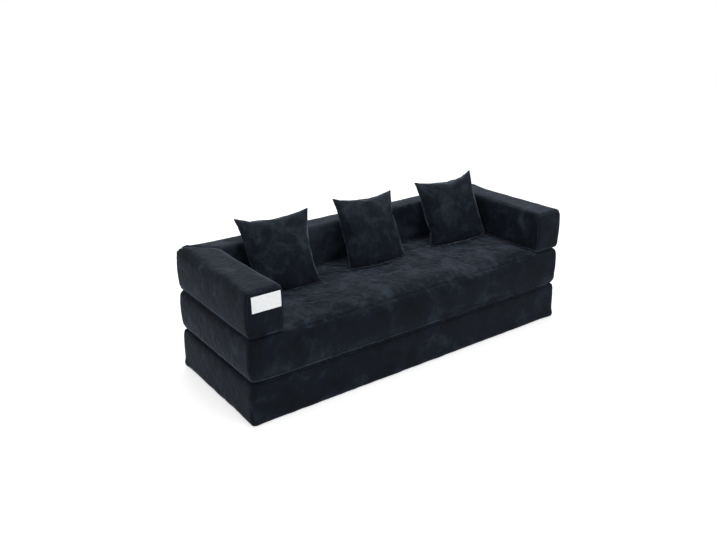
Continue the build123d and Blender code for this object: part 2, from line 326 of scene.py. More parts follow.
def holdFront(points):
    # Base and seat lie front to front when the bed is open, so neither cover swells past its front face
    soft = coverFit["frontSoft"]
    beyond = (points[:, 1] - frontFace) / soft
    near = beyond < 8
    points[near, 1] = frontFace + soft * np.log1p(np.exp(beyond[near]))


def insetBox(low, high, amount):
    # The box drawn in all round in plan, so that the swell can bring it back
    return low + Vector((amount, amount, 0)), high - Vector((amount, amount, 0))


# Base: flat on the floor, with a slightly wavy hem

baseSizes = {
    "voxel": 0.014, "topEdge": 0.024, "creaseEdge": 0.010, "lowEdge": 0.008,
    "endBulge": 0.009, "crown": 0, "lowestLevel": 0, "slack": 0.022, "sideCrumple": 0.28,
    "hemWave": 0.004, "hemReach": 0.060, "cornerPull": 0.007, "cornerReach": 0.045,
    # painted shade: how much darker the base is just under the seat, and how far down it reaches
    "shadeWeight": 0.0022, "underSeatShadeReach": 0.060,
}


def makeBase():
    sizes = baseSizes
    low, high = insetBox(baseLow, baseHigh, coverFit["bulge"])
    low.z, high.z = 0, foldHeight - coverFit["layerGap"]
    obj = startBlock("base_upholstery", low, high)
    bevelEdges(obj, coverFit["cornerRadius"], coverFit["cornerSegments"], uprightEdges)
    bevelLevel(obj, high.z, low.y, sizes["topEdge"], sizes["creaseEdge"])
    bevelEdges(obj, sizes["lowEdge"], 2, levelEdges(low.z))
    applyModifier(obj, "REMESH", mode="VOXEL", voxel_size=sizes["voxel"])
    plain, moves = looseCover(obj, sizes["slack"], 3, (1.7, 1.7, 1))
    normals = readNormals(obj)
    side = 1 - smoothStep(0.5, 0.9, np.abs(normals[:, 2]))
    patches = 0.75 + 0.6 * noiseField(plain, 0.22, 5)
    points = plain + moves * (side * sizes["sideCrumple"] * patches)[:, None]
    points = swell(points, normals, low, high, sizes, low, high)
    points[:, 2] = np.clip(points[:, 2], 0, high.z)
    writePoints(obj, points)
    lift = liftOf(moves, normals) * side * sizes["sideCrumple"]
    storeLook(obj, lift, np.full(len(lift), 0.42))
    finishSoft(obj, 51)
    points, normals = readPoints(obj), readNormals(obj)
    hem = 1 - smoothStep(0.004, sizes["hemReach"], points[:, 2])
    wave = noiseField(points, 0.06, 11, (1, 1, 4)) * hem * sizes["hemWave"]
    points += normals * (1, 1, 0) * wave[:, None]
    # Painted shade: the base is darker in a band just below its top, under the seat
    shadeWeight = smoothStep(sizes["underSeatShadeReach"], 0, high.z - points[:, 2])
    addPaleness(obj, -sizes["shadeWeight"] * shadeWeight * (0.8 + 0.7 * noiseField(points, 0.12, 87)))
    mottleEnds(obj, 101)
    fromCorner = np.hypot(np.abs(points[:, 0]) - halfLength, np.abs(points[:, 1]) - backFace)
    pull = hem * sizes["cornerPull"] * np.exp(-(fromCorner / sizes["cornerReach"]) ** 2)
    points[:, :2] += np.sign(points[:, :2]) * pull[:, None]
    points[:, 2] = np.clip(points[:, 2], 0.0002, high.z)
    holdFront(points)
    sinkZip(points, "base_zip")
    writePoints(obj, points)
    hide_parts("base_cover", "base_foam")
    finishLook(obj, "base")
    return obj


# Seat: crowned and crumpled between the arms, flat where the bolster rests on it

seatSizes = {
    "voxel": 0.0120, "topEdge": 0.034, "frontEdge": 0.016, "lowEdge": 0.024, "creaseEdge": 0.012,
    "frontRound": 0.105,     # of the front edge between the arms, worn soft by sitting
    "frontDrop": 0.085,
    "endBulge": 0.010, "crown": 0.006, "slack": 0.030, "topCrumple": 0.42, "sideCrumple": 0.28,
    # the last three paint light from the floor: a paler band above the front's lower edge
    "weltHeight": 0.009, "floorBounce": 0.0022, "floorBounceHeight": 0.030, "floorBounceReach": 0.035,
}


def roundFront(obj, low, high, sizes):
    # Brings the square front edge to a wide round one, which tightens again under the arms
    points = readPoints(obj)
    between = smoothStep(-0.012, 0.10, armInner - np.abs(points[:, 0]))
    back = np.clip((low.y + sizes["frontRound"] - points[:, 1]) / sizes["frontRound"], 0, None)
    rise = np.clip((points[:, 2] - high.z + sizes["frontDrop"]) / sizes["frontDrop"], 0, None)
    length = np.hypot(back, rise)
    scale = np.where(length > 1e-6, np.maximum(back, rise) / np.maximum(length, 1e-6), 1)
    points[:, 1] += between * back * sizes["frontRound"] * (1 - scale)
    points[:, 2] -= between * rise * sizes["frontDrop"] * (1 - scale)
    writePoints(obj, points)


def makeSeat():
    sizes = seatSizes
    low, high = insetBox(seatLow, seatHigh, coverFit["bulge"])
    low.z, high.z = foldHeight + coverFit["layerGap"], seatFlat
    obj = startBlock("seat_upholstery", low, high)
    bevelEdges(obj, coverFit["cornerRadius"], coverFit["cornerSegments"], uprightEdges)
    bevelLevel(obj, high.z, low.y, sizes["topEdge"], sizes["frontEdge"])
    bevelLevel(obj, low.z, low.y, sizes["lowEdge"], sizes["creaseEdge"])
    applyModifier(obj, "REMESH", mode="VOXEL", voxel_size=sizes["voxel"])
    roundFront(obj, low, high, sizes)
    plain, moves = looseCover(obj, sizes["slack"], 17, (1.3, 1.3, 1))
    normals = readNormals(obj)
    up = smoothStep(0.1, 0.95, normals[:, 2])
    down = smoothStep(0.3, 0.8, -normals[:, 2])
    underArms = smoothStep(armInner - 0.006, armInner + 0.02, np.abs(plain[:, 0]))
    underBack = smoothStep(backInner - 0.006, backInner + 0.02, plain[:, 1])
    seating = (1 - underArms) * (1 - underBack)
    amount = sizes["sideCrumple"] * (1 - up) * (1 - down) + sizes["topCrumple"] * up * seating
    amount *= 0.8 + 0.7 * noiseField(plain, 0.20, 8, (1.5, 1, 1))
    points = plain + moves * amount[:, None]
    crownLow = (-armInner, frontFace + coverFit["bulge"])
    points = swell(points, normals, low, high, sizes, crownLow, (armInner, backInner))
    writePoints(obj, points)
    # The pile is rumpled most on the seat's top between the arms, where it is also painted paler, a painted
    # top light
    rumpleAndTopLight = 0.45 + 0.55 * smoothStep(0.45, 1.0, normals[:, 2]) * seating
    storeLook(obj, liftOf(moves, normals) * amount, rumpleAndTopLight)
    finishSoft(obj, 57, (1.3, 1, 1))
    # Painted light from the floor: the front is paler in a band just above its lower edge, where the
    # cover turns under
    points = readPoints(obj)
    floorBounce = np.exp(-((points[:, 2] - low.z - sizes["floorBounceHeight"]) / sizes["floorBounceReach"]) ** 2)
    floorBounce *= (points[:, 1] < frontFace + 0.02) * (0.8 + 0.7 * noiseField(points, 0.12, 83))
    addPaleness(obj, sizes["floorBounce"] * floorBounce)
    mottleEnds(obj, 111)
    drawSeam(points, readNormals(obj), low.z + sizes["weltHeight"])
    holdFront(points)
    sinkZip(points, "seat_zip")
    writePoints(obj, points)
    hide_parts("seat_cover", "seat_foam")
    finishLook(obj, "seat")
    return obj


# Bolster: two arms and a back, mitred at the rear corners

armSizes = {
    "voxel": 0.0100, "outerEdge": 0.060, "innerEdge": 0.054, "topFrontEdge": 0.022, "frontEdge": 0.010,
    "lowEdge": 0.016, "slack": 0.022, "topCrumple": 0.26, "sideCrumple": 0.28, "frontCrumple": 0.12,
    "crown": 0.005, "endBulge": 0.009, "weltHeight": 0.009,
    "paintedLight": 0.0014,       # painted highlight: how much paler the top's round edges are painted
}
backSizes = {
    "voxel": 0.0115, "rearEdge": 0.060, "innerEdge": 0.078, "lowEdge": 0.020, "slack": 0.022,
    "topCrumple": 0.30, "sideCrumple": 0.28, "crown": 0.005, "endBulge": 0.009, "weltHeight": 0.009,
    "paintedLight": 0.0044,
    "innerFaceLight": 0.0030,         # painted light: how much paler the inner face is painted
}
cornerFill = {"roundEdge": 0.060, "squarer": 1.9, "reach": 0.12}      # at the bolster's rear corners
bolsterFloor = seatFlat + coverFit["layerGap"]
mitreGap = 0.0008        # from the middle of the mitre to each block, half the seam tape and its play


def mitrePlane(side):
    # A point on a corner's mitre, and its normal, which points from the arm to the back
    outer = Vector((side * halfLength, backFace, 0))
    inner = Vector((side * armInner, backInner, 0))
    along = (inner - outer).normalized()
    return outer, Vector((side * along.y, -side * along.x, 0))


def fillCorners(obj, high):
    # Towards the rear corners the foam fills the top's round edges, so they tighten to a squarer curve
    edge, points = cornerFill["roundEdge"], readPoints(obj)
    fromCorner = np.hypot(np.abs(points[:, 0]) - halfLength, points[:, 1] - backFace)
    power = 2 + cornerFill["squarer"] * np.exp(-(fromCorner / cornerFill["reach"]) ** 2)
    upward = np.clip((points[:, 2] - high.z) / edge + 1, 0, None)
    sideways = np.clip((np.abs(points[:, 0]) - halfLength + coverFit["bulge"]) / edge + 1, 0, None)
    rearward = np.clip((points[:, 1] - backFace + coverFit["bulge"]) / edge + 1, 0, None)
    growth = []
    for outward in (sideways, rearward):
        squared = (outward ** power + upward ** power) ** (1 / power)
        ratio = np.hypot(outward, upward) / np.maximum(squared, 1e-6)
        growth.append(np.where(squared > 1e-6, ratio, 1) - 1)
    points[:, 0] += np.sign(points[:, 0]) * sideways * growth[0] * edge
    points[:, 1] += rearward * growth[1] * edge
    points[:, 2] += upward * np.maximum(growth[0], growth[1]) * edge
    writePoints(obj, points)


def makeArm(side, name, body="bolster"):
    sizes = armSizes
    bulge = coverFit["bulge"]
    inner, outer = side * (armInner + bulge), side * (halfLength - bulge)
    low = Vector((min(inner, outer), frontFace + bulge, bolsterFloor))
    high = Vector((max(inner, outer), backFace - bulge, backHigh.z))
    obj = startBlock(name + "_arm_upholstery", low, high)
    bevelEdges(obj, coverFit["cornerRadius"], coverFit["cornerSegments"], lambda a, b: (
        uprightEdges(a, b) and abs(a.x - outer) < 0.001))
    bevelEdges(obj, sizes["frontEdge"], 3, lambda a, b: (
        uprightEdges(a, b) and abs(a.x - inner) < 0.001 and a.y < 0))
    isTop = levelEdges(high.z)
    isFront = lambda a, b: isTop(a, b) and a.y < low.y + 0.02 and b.y < low.y + 0.02
    isInner = lambda a, b: isTop(a, b) and abs(a.x - inner) < 0.001 and abs(b.x - inner) < 0.001
    bevelEdges(obj, sizes["outerEdge"], 5, lambda a, b: (
        isTop(a, b) and not isFront(a, b) and not isInner(a, b)))
    bevelEdges(obj, sizes["innerEdge"], 4, isInner)
    bevelEdges(obj, sizes["topFrontEdge"], 3, isFront)
    bevelEdges(obj, sizes["lowEdge"], 4, levelEdges(low.z))
    point, normal = mitrePlane(side)
    cutBlock(obj, point - normal * mitreGap, normal)
    applyModifier(obj, "REMESH", mode="VOXEL", voxel_size=sizes["voxel"])
    fillCorners(obj, high)
    plain, moves = looseCover(obj, sizes["slack"], 23 + side, (1, 1.8, 1.1))
    normals = readNormals(obj)
    amount = bolsterAmount(plain, normals, sizes)
    fromFront = plain[:, 1] - low.y
    front = 1 - smoothStep(0.0, 0.03, fromFront)
    amount = amount * (1 - front) + sizes["frontCrumple"] * front
    toMitre = mitreDistance(plain, side)
    amount *= smoothStep(0.004, 0.03, toMitre)
    points = plain + moves * amount[:, None]
    crownLow = (low.x - 0.09, low.y - 0.12)
    crownHigh = (high.x + 0.09, high.y + 0.3)
    writePoints(obj, swell(points, normals, low, high, sizes, crownLow, crownHigh))
    finishBolster(obj, liftOf(moves, normals) * amount, normals, sizes["paintedLight"])
    mottleEnds(obj, 121)
    points = readPoints(obj)
    drawSeam(points, readNormals(obj), bolsterFloor + sizes["weltHeight"])
    keepOffMitre(points, side, 1)
    writePoints(obj, points)
    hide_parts(name + "_arm_cover", name + "_arm_foam")
    finishLook(obj, body)
    return obj


def makeBack():
    sizes = backSizes
    bulge = coverFit["bulge"]
    low = Vector((-halfLength + bulge, backInner + bulge, bolsterFloor))
    high = Vector((halfLength - bulge, backFace - bulge, backHigh.z))
    obj = startBlock("back_upholstery", low, high)
    bevelEdges(obj, coverFit["cornerRadius"], coverFit["cornerSegments"], lambda a, b: (
        uprightEdges(a, b) and a.y > high.y - 0.001))
    isTop = levelEdges(high.z)
    isInner = lambda a, b: isTop(a, b) and a.y < low.y + 0.001 and b.y < low.y + 0.001
    bevelEdges(obj, sizes["rearEdge"], 5, lambda a, b: isTop(a, b) and not isInner(a, b))
    bevelEdges(obj, sizes["innerEdge"], 6, isInner)
    bevelEdges(obj, sizes["lowEdge"], 4, levelEdges(low.z))
    for side in (-1, 1):
        point, normal = mitrePlane(side)
        cutBlock(obj, point + normal * mitreGap, -normal)
    applyModifier(obj, "REMESH", mode="VOXEL", voxel_size=sizes["voxel"])
    fillCorners(obj, high)
    plain, moves = looseCover(obj, sizes["slack"], 31, (1.9, 1, 1.1))
    normals = readNormals(obj)
    amount = bolsterAmount(plain, normals, sizes)
    for side in (-1, 1):
        amount *= smoothStep(0.004, 0.03, -mitreDistance(plain, side))
    points = plain + moves * amount[:, None]
    # The crown runs on past the mitres, as that of the arms does, so that the two meet level
    crownLow, crownHigh = (low.x - 0.12, low.y - 0.09), (high.x + 0.12, high.y + 0.09)
    writePoints(obj, swell(points, normals, low, high, sizes, crownLow, crownHigh))
    finishBolster(obj, liftOf(moves, normals) * amount, normals, sizes["paintedLight"])
    # Painted light: the inner face, which lies in shade, is painted paler
    addPaleness(obj, sizes["innerFaceLight"] * smoothStep(0.5, 0.9, -readNormals(obj)[:, 1]))
    points = readPoints(obj)
    drawSeam(points, readNormals(obj), bolsterFloor + sizes["weltHeight"])
    for side in (-1, 1):
        keepOffMitre(points, side, -1)
    sinkZip(points, "bolster_zip")
    writePoints(obj, points)
    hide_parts("back_cover", "back_foam")
    finishLook(obj, "bolster")
    return obj


def bolsterAmount(points, normals, sizes):
    up = smoothStep(0.3, 0.8, normals[:, 2])
    down = smoothStep(0.3, 0.8, -normals[:, 2])
    amount = sizes["sideCrumple"] * (1 - up) * (1 - down) + sizes["topCrumple"] * up
    return amount * (0.8 + 0.7 * noiseField(points, 0.20, 19))


def finishBolster(obj, lift, normals, paintedLight):
    # Rumpled more on the tops, which are also painted paler there, a painted top light
    storeLook(obj, lift, 0.45 + 0.15 * smoothStep(0.5, 0.9, normals[:, 2]))
    finishSoft(obj, 71)
    # Painted highlight: the round edges of the top are painted paler
    up, points = readNormals(obj)[:, 2], readPoints(obj)
    edge = smoothStep(0.05, 0.6, up) * (1 - 0.6 * smoothStep(0.8, 1.0, up))
    addPaleness(obj, paintedLight * edge * (1 + 0.8 * noiseField(points, pileMarks["paintedLightPatch"], 91)))


def mitreDistance(points, side):
    # Positive on the arm's side of the mitre
    point, normal = mitrePlane(side)
    return -(points - np.array(point)) @ np.array(normal)


def keepOffMitre(points, side, sign):
    distance = sign * mitreDistance(points, side)
    normal = np.array(mitrePlane(side)[1]) * -sign
    push = np.clip(mitreGap - distance, 0, None)
    points += push[:, None] * normal


def drawSeam(points, normals, height):
    # The cover is drawn in along a seam that runs round at this height, with small gathers
    sizes = seamSizes
    near = np.exp(-((points[:, 2] - height) / sizes["drawReach"]) ** 2)
    gathers = 0.7 + 0.6 * noiseField(points * (1, 1, 0.2), sizes["gather"], 41)
    side = 1 - smoothStep(0.75, 0.98, np.abs(normals[:, 2]))
    points -= normals * (1, 1, 0.3) * (sizes["drawDepth"] * near * gathers * side)[:, None]


zipValley = {"half": 0.0075, "edge": 0.017, "endFade": 0.012, "depth": 0.0012}


def sinkZip(points, node):
    # A shallow valley in the rear face, in which the zip lies
    low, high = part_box(node)
    middle = (low.z + high.z) / 2
    across = 1 - smoothStep(zipValley["half"], zipValley["edge"], np.abs(points[:, 2] - middle))
    along = 1 - smoothStep(0, zipValley["endFade"], np.abs(points[:, 0]) - high.x)
    rear = points[:, 1] > backFace - 0.03
    sunk = np.minimum(points[:, 1], low.y - zipValley["depth"])
    weight = across * along * rear
    points[:, 1] += (sunk - points[:, 1]) * weight


# Pillows: two flat panels sewn together and blown up

pillowSizes = {
    "flatWidth": 0.440, "flatHeight": 0.416, "cells": 0.0085, "seamWall": 0.004,
    "panelHollow": 0.002,    # of the sides that the panels are cut with
    "startBulge": 0.012, "frames": 26, "pressure": 3.0, "tension": 40, "bending": 0.6,
    "width": 0.408, "height": 0.386, "thickness": 0.146,
    "belly": 0.8,            # how far the fill sinks to the bottom
    "topHollow": 0.012, "sideHollow": 0.007, "paintedLight": 0.0020, "lean": 24.0, "pipingRadius": 0.0021,
    "zipHeight": 0.0226, "slotHalf": 0.0065, "slotStart": 0.007, "slotEnd": 0.018,
}
pillowPlaces = {
    "left": {"turn": -7.0, "roll": 0.3, "seed": 2, "slump": 0.16},
    "middle": {"turn": 3.0, "roll": 1.5, "seed": 9, "slump": 0.20},
    "right": {"turn": -6.0, "roll": -2.5, "seed": 14, "slump": 0.14},
}


def makePillow(name, place):
    sizes = pillowSizes
    deselectAll()
    across = round(sizes["flatWidth"] / sizes["cells"])
    upward = round(sizes["flatHeight"] / sizes["cells"])
    bpy.ops.mesh.primitive_grid_add(
        x_subdivisions=across, y_subdivisions=upward, size=1,
        location=(0, 0, sizes["flatHeight"] / 2), rotation=(pi / 2, 0, 0),
    )
    obj = bpy.context.object
    obj.name = name + "_pillow"
    obj.scale = (sizes["flatWidth"], sizes["flatHeight"], 1)
    bpy.ops.object.transform_apply(location=True, rotation=True, scale=True)
    # Two panels, with a narrow wall for the seam between them
    applyModifier(obj, "SOLIDIFY", thickness=sizes["seamWall"], offset=0)
    markSeam(obj)
    inflatePillow(obj, place["seed"])
    shapePillow(obj, place)
    # Painted light and shade: paler towards the top edge and palest along it, darker at the bottom
    level = readPoints(obj)[:, 2] / sizes["height"]
    paintedLight = sizes["paintedLight"] * (1.6 * (level - 0.5) + np.exp((level - 1) / 0.07) - np.exp(-level / 0.05))
    storeLook(obj, np.zeros(len(level)), np.full(len(level), 0.6), 0)
    addPaleness(obj, paintedLight)
    finishSoft(obj, place["seed"])
    openSlot(obj)
    posePillow(obj, name, place)
    seatPillow(obj, name)
    piping = makePiping(obj, name)
    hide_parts(name + "_pillow_cover", name + "_pillow_fill")
    finishLook(obj, name + "_pillow")
    finishLook(piping, name + "_pillow")
    return obj, piping


def markSeam(obj):
    # The points of one panel's edge that get a piping later: not those of the zip's seam
    edge = [v.index for v in obj.data.vertices if isPillowEdge(v.co) and v.co.y > 0]
    obj.vertex_groups.new(name="seam").add(edge, 1, "REPLACE")


def isPillowEdge(point):
    half, top = pillowSizes["flatWidth"] / 2, pillowSizes["flatHeight"]
    return abs(point.x) > half - 0.001 or point.z > top - 0.001


def inflatePillow(obj, seed):
    sizes = pillowSizes
    points = readPoints(obj)
    across = 2 * points[:, 0] / sizes["flatWidth"]
    upward = 2 * points[:, 2] / sizes["flatHeight"] - 1
    dome = np.clip(1 - across ** 2, 0, 1) * np.clip(1 - upward ** 2, 0, 1)
    points[:, 0] -= sizes["panelHollow"] * across * (1 - upward ** 2)
    points[:, 2] -= sizes["panelHollow"] * upward * (1 - across ** 2)
    bumps = 1 + 0.5 * noiseField(points, 0.06, seed)
    full = sizes["startBulge"]
    points[:, 1] += np.sign(points[:, 1]) * np.sqrt(dome) * full * bumps
    writePoints(obj, points)
    simulateCloth(
        obj, sizes["frames"], sizes["pressure"], tension_stiffness=sizes["tension"],
        compression_stiffness=sizes["tension"], shear_stiffness=sizes["tension"] / 4,
        bending_stiffness=sizes["bending"], air_damping=4,
    )


def shapePillow(obj, place):
    # The fill settles towards the bottom, and the pillow is brought to its real thickness
    sizes = pillowSizes
    points = readPoints(obj)
    points[:, 0] -= (points[:, 0].max() + points[:, 0].min()) / 2
    points[:, 2] -= points[:, 2].min()
    print(obj.name, "blown up to", np.round(np.ptp(points, axis=0) * 1000))
    points *= np.array([sizes["width"], sizes["thickness"], sizes["height"]]) / np.ptp(points, axis=0)
    level = points[:, 2] / sizes["height"]
    points[:, 1] *= 1 + place["slump"] * (0.5 - level)
    level = level ** (1 + sizes["belly"] * (1 - smoothStep(0, 0.75, level)))
    points[:, 2] = level * sizes["height"]
    across = np.clip(2 * points[:, 0] / sizes["width"], -1, 1)
    points[:, 0] -= sizes["sideHollow"] * across ** 3 * (1 - (2 * level - 1) ** 2)
    points[:, 2] -= sizes["topHollow"] * (1 - np.abs(across) ** 2.5) * smoothStep(0.55, 1, level)
    points[:, 2] -= sizes["zipHeight"] * (1 - across ** 2) * (1 - smoothStep(0, 0.3, level))
    writePoints(obj, points)


def seatPillow(obj, name):
    # Flat where it stands on the seat
    points = readPoints(obj)
    points[:, 2] = np.maximum(points[:, 2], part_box(name + "_pillow_cover")[0].z - 0.001)
    writePoints(obj, points)


def openSlot(obj):
    # A slot in the lower seam, in which the zip lies
    sizes = pillowSizes
    points = readPoints(obj)
    low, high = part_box("left_pillow_zip")
    half = (high.x - low.x) / 2
    near = 1 - smoothStep(sizes["slotHalf"] - 0.002, sizes["slotHalf"] + 0.003, np.abs(points[:, 1]))
    near *= 1 - smoothStep(half + sizes["slotStart"], half + sizes["slotEnd"], np.abs(points[:, 0]))
    below = points[:, 2] < sizes["zipHeight"]
    points[below, 2] += (sizes["zipHeight"] + 0.001 - points[below, 2]) * near[below]
    writePoints(obj, points)


def pillowMatrix(name, place):
    # Its turn in place, with the zip's middle where the frame has it
    low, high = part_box(name + "_pillow_zip")
    turn = Matrix.Rotation(radians(place["turn"]), 4, "Z")
    turn = turn @ Matrix.Rotation(radians(-pillowSizes["lean"]), 4, "X")
    turn = turn @ Matrix.Rotation(radians(place["roll"]), 4, "Y")
    origin = (low + high) / 2 - turn @ Vector((0, 0, pillowSizes["zipHeight"]))
    return Matrix.Translation(origin) @ turn


def posePillow(obj, name, place):
    obj.data.transform(pillowMatrix(name, place))
    obj.data.update()


def makePiping(pillow, name):
    activate(pillow)
    bpy.ops.object.duplicate()
    obj = bpy.context.object
    obj.name = name + "_pillow_piping"
    group = obj.vertex_groups["seam"].index
    mesh = editMesh(obj)
    bpy.ops.mesh.select_mode(type="VERT")
    layer = mesh.verts.layers.deform.verify()
    for vert in mesh.verts:
        vert.select = vert[layer].get(group, 0) < 0.9
    bmesh.update_edit_mesh(obj.data)
    bpy.ops.mesh.delete(type="VERT")
    bpy.ops.mesh.select_all(action="SELECT")
    bpy.ops.mesh.delete(type="ONLY_FACE")
    objectMode()
    pillow.vertex_groups.clear()
    return tubeFromEdges(obj, pillowSizes["pipingRadius"])


# Seams that stand out: the cover's own surface, cut at a plane, gives the line of each

seamSizes = {
    "weltRadius": 0.0036, "seamRadius": 0.0018, "drawDepth": 0.0028, "drawReach": 0.008, "gather": 0.022,
    "hemHeight": 0.009, "frontSetback": 0.005, "lipOffset": 0.0085, "lipEnd": 0.004, "mitreEnd": 0.004,
}


def tubeFromEdges(obj, radius):
    activate(obj)
    bpy.ops.object.convert(target="CURVE")
    obj = bpy.context.object
    obj.data.bevel_depth = radius
    obj.data.bevel_resolution = 2
    obj.data.use_fill_caps = True
    bpy.ops.object.convert(target="MESH")
    obj = bpy.context.object
    obj.vertex_groups.clear()
    return obj


def seamOn(cover, name, point, normal, radius, drop=lambda p: False):
    # drop says which points of the cut to leave out, for a seam that doesn't go all round
    activate(cover)
    bpy.ops.object.duplicate()
    obj = bpy.context.object
    obj.name = name
    obj.parent = None
    for key in list(obj.keys()):
        del obj[key]
    editMesh(obj)
    bpy.ops.mesh.select_all(action="SELECT")
    bpy.ops.mesh.bisect(plane_co=point, plane_no=normal, clear_inner=True, clear_outer=True)
    mesh = bmesh.from_edit_mesh(obj.data)
    bpy.ops.mesh.select_mode(type="VERT")
    for vert in mesh.verts:
        vert.select = bool(drop(vert.co))
    bmesh.update_edit_mesh(obj.data)
    bpy.ops.mesh.delete(type="VERT")
    objectMode()
    return tubeFromEdges(obj, radius)


def makeBlockSeams(covers):
    sizes, seams = seamSizes, {}

    def add(cover, name, body, place, radius, drop=lambda p: False, axis=2):
        # A seam where the cover meets the plane across this axis at this place
        point, normal = Vector((0, 0, 0)), Vector((0, 0, 0))
        point[axis], normal[axis] = place, 1
        seams[name] = seamOn(covers[cover], name, point, normal, radius, drop)
        finishLook(seams[name], body)

    welt, seam = sizes["weltRadius"], sizes["seamRadius"]
    bolsterWelt = bolsterFloor + backSizes["weltHeight"]
    frontSeam = frontFace + coverFit["bulge"] + sizes["frontSetback"]
    add("seat", "seat_welt", "seat", foldHeight + coverFit["layerGap"] + seatSizes["weltHeight"], welt)
    add("base", "base_hem", "base", baseLow.z + sizes["hemHeight"], seam)
    for side, name in ((-1, "left"), (1, "right")):
        cover = name + "_arm"
        pastMitre = lambda p, side=side: mitreDistance(np.array([p]), side)[0] < sizes["mitreEnd"]
        add(cover, name + "_arm_welt", "bolster", bolsterWelt, welt, pastMitre)
        add(cover, name + "_arm_front_seam", "bolster", frontSeam, seam, axis=1)
    pastMitres = lambda p: (
        max(mitreDistance(np.array([p]), side)[0] for side in (-1, 1)) > -sizes["mitreEnd"])
    add("back", "back_welt", "bolster", bolsterWelt, welt, pastMitres)
    for cover, node, body in (
        ("base", "base_zip", "base"), ("seat", "seat_zip", "seat"), ("back", "bolster_zip", "bolster"),
    ):
        low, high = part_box(node)
        notBeside = lambda p, high=high: p.y < backFace - 0.03 or abs(p.x) > high.x + sizes["lipEnd"]
        for word, sign in (("upper", 1), ("lower", -1)):
            height = (low.z + high.z) / 2 + sign * sizes["lipOffset"]
            add(cover, f"{node}_{word}_lip", body, height, welt, notBeside)
    return seams


# Label: a blank woven label, sewn flat on the left arm's front end

labelSizes = {"cells": 0.0045, "thickness": 0.0007, "lift": 0.0016, "waver": 0.0005}


def makeLabel(arm):
    low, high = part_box("arm_label")
    sizes = labelSizes
    width, height = high.x - low.x, high.z - low.z
    middle = (low + high) / 2
    deselectAll()
    bpy.ops.mesh.primitive_grid_add(
        x_subdivisions=round(width / sizes["cells"]), y_subdivisions=round(height / sizes["cells"]),
        size=1, location=(middle.x, low.y - 0.03, middle.z), rotation=(pi / 2, 0, 0), calc_uvs=True,
    )
    obj = bpy.context.object
    obj.name = "woven_label"
    obj.scale = (width, height, 1)
    bpy.ops.object.transform_apply(location=True, rotation=True, scale=True)
    activate(obj)
    bpy.ops.object.modifier_add(type="SHRINKWRAP")
    modifier = obj.modifiers[-1]
    modifier.target = arm
    modifier.wrap_method = "PROJECT"
    modifier.use_project_y = True
    modifier.use_positive_direction = True
    modifier.use_negative_direction = False
    modifier.offset = sizes["lift"]
    bpy.ops.object.modifier_apply(modifier=modifier.name)
    applyModifier(obj, "SMOOTH", factor=0.6, iterations=4)
    points = readPoints(obj)
    points[:, 1] += sizes["waver"] * noiseField(points, 0.03, 5)
    writePoints(obj, points)
    applyModifier(obj, "SOLIDIFY", thickness=sizes["thickness"], offset=0)
    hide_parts("arm_label")
    finishLook(obj, "bolster")
    return obj


# Materials

def linear(hexColour):
    values = [int(hexColour[i:i + 2], 16) / 255 for i in (1, 3, 5)]
    return tuple(v / 12.92 if v <= 0.04045 else ((v + 0.055) / 1.055) ** 2.4 for v in values) + (1,)


def setSockets(tree, node, inputs):
    # inputs: a socket's name or number to its value, or to the socket that feeds it
    for key, value in inputs.items():
        if isinstance(value, bpy.types.NodeSocket):
            tree.links.new(value, node.inputs[key])
        else:
            node.inputs[key].default_value = value


def addNode(tree, kind, inputs=None, stops=(), **settings):
    # stops: the places and colours of a colour ramp
    node = tree.nodes.new(kind)
    for key, value in settings.items():
        setattr(node, key, value)
    setSockets(tree, node, inputs or {})
    for index, (place, colour) in enumerate(stops):
        if index == len(node.color_ramp.elements):
            node.color_ramp.elements.new(place)
        node.color_ramp.elements[index].position = place
        node.color_ramp.elements[index].color = linear(colour)
    return node


def startMaterial(name):
    material = bpy.data.materials.new(name)
    material.use_nodes = True
    tree = material.node_tree
    shader = tree.nodes["Principled BSDF"]
    return material, tree, shader


perMetre = 1000              # a pattern of so many millimetres has the scale perMetre / size

velour = {
    "deep": "#06090f", "middle": "#0e141d", "pale": "#2e353f",
    "patch": 150, "wisp": 40, "streak": 12, "tuft": 3.5,     # the patterns' sizes in mm
    "patchShare": 0.75, "wispShare": 0.46, "streakShare": 0.38, "tuftShare": 0.28, "palenessShare": 0.080,
    "lowestShade": 0.12, "rumpleAndTopLightLift": 0.44, "stretch": (0.6, 0.6, 0.8),
    "sheen": 0.68, "sheenRoughness": 0.28, "sheenTint": "#b0bdd2", "specular": 0.12,
}


